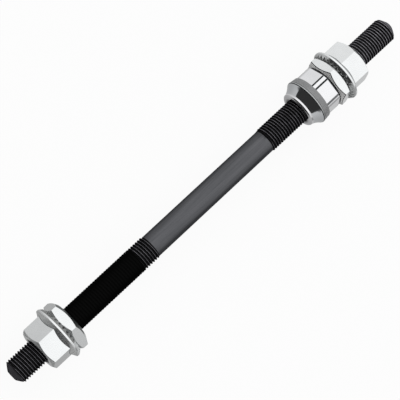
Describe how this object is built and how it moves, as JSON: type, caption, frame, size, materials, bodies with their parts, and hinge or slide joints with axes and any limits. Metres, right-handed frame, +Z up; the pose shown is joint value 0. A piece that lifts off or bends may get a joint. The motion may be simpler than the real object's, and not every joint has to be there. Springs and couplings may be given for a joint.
{
  "type": "bicycle hub axle",
  "caption": "Solid bicycle hub axle threaded at both ends, with serrated flange nuts, lock nuts and a bearing cone, which carries a wheel between a frame's or fork's ends.",
  "frame": {"origin": "middle of the axle rod's length, on its axis", "axes": "+X along the axle, towards the end that carries the cone; +Z up as the axle is held level; +Y completes them"},
  "size_m": [0.1852, 0.0208, 0.0208],
  "materials": {
    "blackened_steel": "black oxide, satin",
    "plated_nuts": "bright plated",
    "ground_cone": "hardened and ground, bright",
    "dull_ring": "dull grey, satin"
  },
  "bodies": {
    "axle": {"axle": "blackened_steel", "right_lock_nut": "plated_nuts"},
    "left_axle_nut": {"left_axle_nut": "plated_nuts"},
    "left_lock_nut": {"left_lock_nut": "plated_nuts"},
    "cone": {"cone": "ground_cone", "cone_dust_ring": "dull_ring"},
    "right_axle_nut": {"right_axle_nut": "plated_nuts"}
  },
  "joints": [
    {"name": "left_axle_nut_travel", "type": "slide", "parent": "axle", "child": "left_axle_nut", "axis": [-1, 0, 0], "range_m": [0, 0.01905]},
    {"name": "left_lock_nut_travel", "type": "slide", "parent": "axle", "child": "left_lock_nut", "axis": [1, 0, 0], "range_m": [0, 0.03598]},
    {"name": "cone_travel", "type": "slide", "parent": "axle", "child": "cone", "axis": [-1, 0, 0], "range_m": [0, 0.01482]},
    {"name": "right_axle_nut_travel", "type": "slide", "parent": "axle", "child": "right_axle_nut", "axis": [1, 0, 0], "range_m": [0, 0.0254]}
  ]
}
